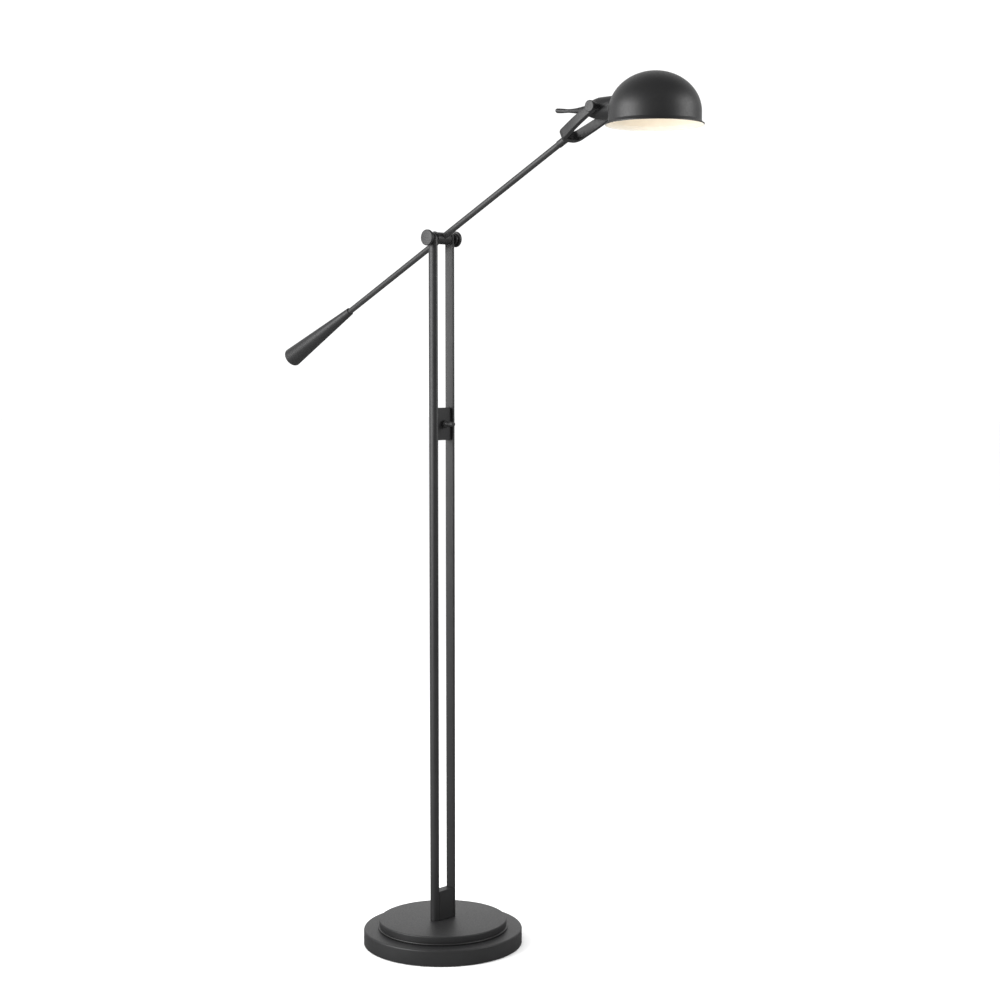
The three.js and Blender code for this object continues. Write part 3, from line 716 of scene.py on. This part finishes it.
def make_fork():
    """The bar bent into a U, with a round boss about the tilt axis at the end of each tine."""
    bar = loft(bmesh.new(), fork_loops())
    piece = finish_mesh("boom_fork", bar, AT_KNUCKLE, "boom", BLACK, ["fork"])
    boss = rounded(
        [
            (0, FORK_INNER),
            (FORK_WIDTH / 2, FORK_INNER, FORK_INNER_EDGE),
            (FORK_WIDTH / 2, FORK_INNER + FORK_THICK, 2 * MM),
            (0, FORK_INNER + FORK_THICK),
        ],
        5,
    )
    at = (REACH, 0, 0)
    union(piece, [turn_into(bmesh.new(), side, "y", 64, at) for side in (mirrored(boss), boss)])
    soften(piece, 0.5 * MM)


# ---- head ------------------------------------------------------------------------------------

SCREW_ROOT = 14 * MM
SCREW_RADIUS = 2.5 * MM
COLLAR_RADIUS = 5 * MM
COLLAR_THICK = 1.3 * MM
SLEEVE_BORE = 2.8 * MM


def along_head(node):
    """A turned node's radius, and where it starts and ends ahead of the tilt axis."""
    low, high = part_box(node)
    return (high.z - low.z) / 2, low.x - TILT.x, high.x - TILT.x


def make_tilt_hardware():
    for side, name in SIDES:
        low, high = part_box(f"tilt_screw_{name}")
        face = max(abs(low.y), abs(high.y))
        radius = (high.x - low.x) / 2
        start = FORK_INNER + FORK_THICK + GAP
        cap = rounded(
            [
                (0, SCREW_ROOT),
                (SCREW_RADIUS, SCREW_ROOT),
                (SCREW_RADIUS, start),
                (COLLAR_RADIUS, start),
                (COLLAR_RADIUS, start + COLLAR_THICK),
                (radius, start + COLLAR_THICK, 0.4 * MM),
                (radius, face, 0.9 * MM),
                (0, face),
            ],
            6,
        )
        profile = cap if side > 0 else mirrored(cap)
        turned(f"tilt_cap_{name}", profile, "y", AT_TILT, "head", BLACK, [f"tilt_screw_{name}"], 80)
        make_ring(f"tilt_sleeve_{name}", f"tilt_spacer_{name}", BLACK, SLEEVE_BORE, "head", AT_TILT)


SHADE_WALL = 1.3 * MM
LIP_FLARE = 4 * MM
LIP_EDGE = 0.3 * MM
LIP_BEND = 2 * MM
BELT_DROP = 14.2 * MM
DOME_DROP = 6 * MM
SKIRT_DROP = 12 * MM
SKIRT_BEND = 2.5 * MM
DOME_STEPS = 40


def shade_sizes():
    """The dome's middle, its belt's height, its radius there, and how far it rises above the belt."""
    low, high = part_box("shade")
    belt = TILT.z - BELT_DROP
    return (low.x + high.x) / 2, belt, (high.x - low.x) / 2 - LIP_FLARE, high.z - belt


def make_shade():
    """Spun dome with a straight skirt and a flared lip, black outside and white inside, in one mesh."""
    centre, belt, radius, rise = shade_sizes()
    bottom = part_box("shade")[0].z
    lip = radius + LIP_FLARE
    inner = radius - SHADE_WALL
    skirt = belt - SKIRT_DROP
    outside = arc(0, belt, radius, 90, 0, DOME_STEPS, rise)
    outside[0] = (0, belt + rise)
    outside += rounded(
        [
            (radius, belt - DOME_DROP),
            (radius, skirt, SKIRT_BEND),
            (radius + 1.4 * MM, bottom + 2.6 * MM, LIP_BEND),
            (lip, bottom + 0.9 * MM, LIP_EDGE),
            (lip, bottom, LIP_EDGE),
        ],
        5,
    )[:-1]
    inside = rounded(
        [
            (lip, bottom, LIP_EDGE),
            (lip - 1.2 * MM, bottom, LIP_EDGE),
            (radius + 0.6 * MM, bottom + 1.6 * MM, LIP_BEND),
            (inner, skirt, SKIRT_BEND),
            (inner, belt - DOME_DROP),
        ],
        5,
    )[1:]
    dome = arc(0, belt, inner, 0, 90, DOME_STEPS, rise - SHADE_WALL)
    dome[-1] = (0, belt + rise - SHADE_WALL)
    black_until = len(outside) + 3
    bm = turn_into(
        bmesh.new(), outside + inside + dome, "z", 160, (centre, 0, 0),
        slot_of=lambda index: 0 if index < black_until else 1,
    )
    finish_mesh("dome_shade", bm, AT_FLOOR, "head", [BLACK, WHITE], ["shade"])


CUP_RADIUS = 16 * MM
CUP_FRONT = 24 * MM               # where the cup's turned outline ends, before it is drawn out
CUP_CLEARANCE = 0.15 * MM
CUP_RIM = 0.86                    # inner edge of the cup's front rim, as a share of its radius


def make_cup():
    """Bell-shaped socket cup between the fork's tines, its front edge hidden against the dome."""
    back = along_head("socket_cup")[1]
    outline = [
        (0, back),
        (6.6 * MM, back),
        (8.2 * MM, back + 0.5 * MM),
        (9.0 * MM, back + 2 * MM),
        (10.2 * MM, back + 5.5 * MM),
        (11.8 * MM, back + 9.5 * MM),
        (13.4 * MM, back + 14 * MM),
        (14.7 * MM, back + 19 * MM),
        (15.6 * MM, back + 24 * MM),
        (CUP_RADIUS, back + 29 * MM),
        (CUP_RADIUS, CUP_FRONT),
    ]
    bm = turn_into(bmesh.new(), smooth_outline(outline), "x", 96)
    fit_to_dome(bm)
    finish_mesh("bell_socket_cup", bm, AT_TILT, "head", BLACK, ["socket_cup"])


def smooth_outline(points, steps=4):
    """A smooth curve through an outline's points, which keeps the first two as they are."""
    result = [points[0], points[1]]
    for i in range(1, len(points) - 1):
        p0, p1, p2 = points[max(i - 1, 1)], points[i], points[i + 1]
        p3 = points[min(i + 2, len(points) - 1)]
        for k in range(1, steps + 1):
            t = k / steps
            result.append(tuple(catmull(a, b, c, d, t) for a, b, c, d in zip(p0, p1, p2, p3)))
    return result


def catmull(a, b, c, d, t):
    """A value between b and c on the smooth curve through all four."""
    square = (2 * a - 5 * b + 4 * c - d) * t**2
    cube = (3 * b - a - 3 * c + d) * t**3
    return 0.5 * (2 * b + (c - a) * t + square + cube)


def dome_back(y, z):
    """How far ahead of the tilt axis the dome's outer face is, at a place across and above it."""
    centre, belt, radius, rise = shade_sizes()
    height = max(0.0, TILT.z + z - belt)
    level = radius * math.sqrt(max(0.0, 1 - (height / rise) ** 2))
    return centre - TILT.x - math.sqrt(max(0.0, level**2 - y**2))


def fit_to_dome(bm):
    """Draws the cup's open front edge out to meet the dome, and closes it with a ring inside."""
    edge = [v for v in bm.verts if abs(v.co.x - CUP_FRONT) < WELD]
    edge.sort(key=lambda v: math.atan2(v.co.z, v.co.y))
    for vert in edge:
        vert.co.x = dome_back(vert.co.y, vert.co.z) - CUP_CLEARANCE
    inner = []
    for vert in edge:
        y, z = vert.co.y * CUP_RIM, vert.co.z * CUP_RIM
        inner.append(bm.verts.new((dome_back(y, z) - CUP_CLEARANCE, y, z)))
    deep = [bm.verts.new((0, v.co.y, v.co.z)) for v in inner]
    count = len(edge)
    for k in range(count):
        after = (k + 1) % count
        bm.faces.new([edge[k], edge[after], inner[after], inner[k]])
        bm.faces.new([inner[k], inner[after], deep[after], deep[k]])
    bm.faces.new(deep)


TAIL_RISE = 4.8 * MM
TAIL_CURVE = 1.3                  # above 1 the tail bends more towards its end
TAIL_STRAIGHT = 4 * MM
TAIL_TIP = 3.5 * MM


def make_tail():
    """Slim handle behind the cup, round at its end and bent gently upwards."""
    end = along_head("tail_handle")[1]
    root = along_head("socket_cup")[1] - 0.2 * MM
    outline = [
        (0, root),
        (6.6 * MM, root),
        (6.5 * MM, root - 4 * MM),
        (5.7 * MM, root - 9.5 * MM),
        (4.8 * MM, root - 15 * MM),
        (3.9 * MM, root - 21 * MM),
        (3.1 * MM, root - 29 * MM),
        (2.8 * MM, root - 37 * MM),
        (3.2 * MM, root - 44 * MM),
        (TAIL_TIP, root - 51 * MM),
        (TAIL_TIP, end + TAIL_TIP),
    ]
    nose = arc(0, end + TAIL_TIP, TAIL_TIP, 0, -90, 8)[1:]
    nose[-1] = (0, end)
    bm = turn_into(bmesh.new(), smooth_outline(outline) + nose, "x", 64)
    start = root - TAIL_STRAIGHT
    for vert in bm.verts:
        along = max(0.0, (start - vert.co.x) / (start - end))
        vert.co.z += TAIL_RISE * along**TAIL_CURVE
    finish_mesh("head_tail_handle", bm, AT_TILT, "head", BLACK, ["tail_handle"])


SOCKET_MOUTH = 6.4 * MM
SOCKET_DEPTH = 20 * MM
CLAMP_BORE = 11.3 * MM
THREAD_TURNS = 8
THREAD_DEPTH = 0.35 * MM
STEPS_PER_TURN = 8
BULB_RADIUS = 19 * MM


def make_socket():
    radius, back, front = along_head("lamp_socket")
    socket = rounded(
        [
            (0, back),
            (8 * MM, back),
            (radius, back + 4 * MM, 1 * MM),
            (radius, front, 0.8 * MM),
            (SOCKET_MOUTH, front, 0.5 * MM),
            (SOCKET_MOUTH, front - SOCKET_DEPTH),
            (0, front - SOCKET_DEPTH),
        ]
    )
    turned("socket_body", socket, "x", AT_TILT, "head", CERAMIC, ["lamp_socket"], 72)
    outer, back, front = along_head("shade_ring")
    ring = [(CLAMP_BORE, back), (outer, back, 0.4 * MM), (outer, front, 0.8 * MM), (CLAMP_BORE, front)]
    turned("shade_clamp_ring", rounded(ring), "x", AT_TILT, "head", BRASS, ["shade_ring"], 72,
           closed=True)


def make_bulb():
    radius, back, front = along_head("bulb_base")
    steps = THREAD_TURNS * STEPS_PER_TURN
    thread = [(0, back)]
    for k in range(steps + 1):
        wave = math.cos(2 * math.pi * k / STEPS_PER_TURN) - 1
        thread.append((radius + THREAD_DEPTH * wave, back + (front - back) * k / steps))
    thread.append((0, front))
    turned("bulb_cap", thread, "x", AT_TILT, "head", BRASS, ["bulb_base"], 64)
    neck, tip = along_head("bulb_glass")[1:]
    centre = tip - BULB_RADIUS
    outline = [(0, neck), (6.2 * MM, neck), (6.5 * MM, neck + 3 * MM), (7.6 * MM, neck + 8 * MM)]
    outline += arc(0, centre, BULB_RADIUS, -52, -20, 4)
    globe = smooth_outline(outline) + arc(0, centre, BULB_RADIUS, -20, 90, 20)[1:]
    globe[-1] = (0, tip)
    turned("bulb_globe", globe, "x", AT_TILT, "head", GLASS, ["bulb_glass"])


# ---- hidden nodes keep their CAD shape and get a finish --------------------------------------


def finish_hidden():
    looks = {
        STEEL: ["post_plug_near", "post_plug_far", "post_bolt_near", "post_bolt_far",
                "switch_shaft", "housing_screw_near", "housing_screw_far", "rod_set_screw"],
        IRON: ["base_weight", "base_tier_plate"],
        BLACK: ["fork_nut", "fork_nipple"],
        PLASTIC: ["switch_body"],
    }
    for look, names in looks.items():
        for name in names:
            slots = frame["nodes"][name].data.materials
            slots.clear()
            slots.append(look)


make_base()
for side, name in SIDES:
    make_post(side, name)
make_block("foot_spacer_block", "foot_block", 0.6 * MM)
make_switch()
make_knuckle()
make_boom()
make_fork()
make_tilt_hardware()
make_shade()
make_cup()
make_tail()
make_socket()
make_bulb()
finish_hidden()

# ---- floor, light and camera -----------------------------------------------------------------

CAMERA_DISTANCE = 2.939
CAMERA_HEIGHT = 0.929
CAMERA_AZIMUTH = 45
CAMERA_YAW = 1.79
CAMERA_PITCH = -4.18
LENS = 66.95
SENSOR_WIDTH = 36
FLOOR_RADIUS = 30
FLOOR_SEEN = (0.93, 0.93, 0.93)
FLOOR_REFLECTED = (0.18, 0.18, 0.18)
WORLD_WHITE = 1.12
ROOM_FRONT = 0.1
ROOM_BEHIND = 1.15
KEY_POWER = 74
FILL_POWER = 25
AIM = Vector((0, 0, 0.9))


def make_camera():
    azimuth = math.radians(CAMERA_AZIMUTH)
    camera = bpy.data.objects.new("camera", bpy.data.cameras.new("camera"))
    camera.data.sensor_width = SENSOR_WIDTH
    camera.data.lens = LENS
    camera.location = (
        CAMERA_DISTANCE * math.sin(azimuth),
        -CAMERA_DISTANCE * math.cos(azimuth),
        CAMERA_HEIGHT,
    )
    heading = azimuth - math.radians(CAMERA_YAW)
    camera.rotation_euler = (math.radians(90 + CAMERA_PITCH), 0, heading)
    bpy.context.scene.collection.objects.link(camera)
    bpy.context.scene.camera = camera


def make_floor():
    """Plain pale floor, which shows darker in the lamp's reflections than it looks."""
    bm = bmesh.new()
    bmesh.ops.create_circle(bm, cap_ends=True, segments=96, radius=FLOOR_RADIUS)
    mesh = bpy.data.meshes.new("floor")
    bm.to_mesh(mesh)
    bm.free()
    floor = bpy.data.objects.new("floor", mesh)
    bpy.context.scene.collection.objects.link(floor)
    material, nodes, links, shader = new_material("floor_white")
    shader.inputs["Roughness"].default_value = 0.9
    shader.inputs["Specular IOR Level"].default_value = 0.1
    reflected = nodes.new("ShaderNodeLightPath").outputs["Is Glossy Ray"]
    tone = colour_between(nodes, links, reflected, FLOOR_SEEN, FLOOR_REFLECTED)
    links.new(tone, shader.inputs["Base Color"])
    mesh.materials.append(material)


def softbox(name, place, wide, tall, power):
    """Rectangular soft light that faces the lamp."""
    data = bpy.data.lights.new(name, "AREA")
    data.shape = "RECTANGLE"
    data.size = wide
    data.size_y = tall
    data.energy = power
    light = bpy.data.objects.new(name, data)
    light.location = place
    light.visible_camera = False
    light.rotation_euler = (AIM - place).to_track_quat("-Z", "Y").to_euler()
    bpy.context.scene.collection.objects.link(light)


def around(angle, distance, height):
    """A place in the studio: degrees round the lamp from the camera, to its right, and metres."""
    azimuth = math.radians(CAMERA_AZIMUTH - 90 + angle)
    return Vector((distance * math.cos(azimuth), distance * math.sin(azimuth), height))


def make_world():
    """White seen directly and for soft light, dim in reflections, a little brighter behind the lamp."""
    world = bpy.data.worlds.new("studio")
    bpy.context.scene.world = world
    world.use_nodes = True
    nodes = world.node_tree.nodes
    links = world.node_tree.links
    background = nodes["Background"]
    background.inputs["Color"].default_value = (1, 1, 1, 1)
    behind = nodes.new("ShaderNodeVectorMath")
    behind.operation = "DOT_PRODUCT"
    behind.inputs[1].default_value = around(180, 1, 0)
    links.new(nodes.new("ShaderNodeTexCoord").outputs["Generated"], behind.inputs[0])
    value = behind.outputs["Value"]
    dim = ranged(nodes, links, value, ROOM_FRONT, ROOM_BEHIND, from_low=0.2, from_high=0.95)
    reflected = nodes.new("ShaderNodeLightPath").outputs["Is Glossy Ray"]
    strength = nodes.new("ShaderNodeMix")
    strength.inputs["A"].default_value = WORLD_WHITE
    links.new(dim, strength.inputs["B"])
    links.new(reflected, strength.inputs["Factor"])
    links.new(strength.outputs["Result"], background.inputs["Strength"])


def make_light():
    make_world()
    key = around(angle=-66, distance=2.0, height=1.3)
    fill = around(angle=72, distance=2.2, height=1.7)
    softbox("key_left", key, wide=1.9, tall=1.8, power=KEY_POWER)
    softbox("fill_right", fill, wide=1.3, tall=1.1, power=FILL_POWER)


make_camera()
make_floor()
make_light()

bpy.context.scene.view_settings.view_transform = "Standard"
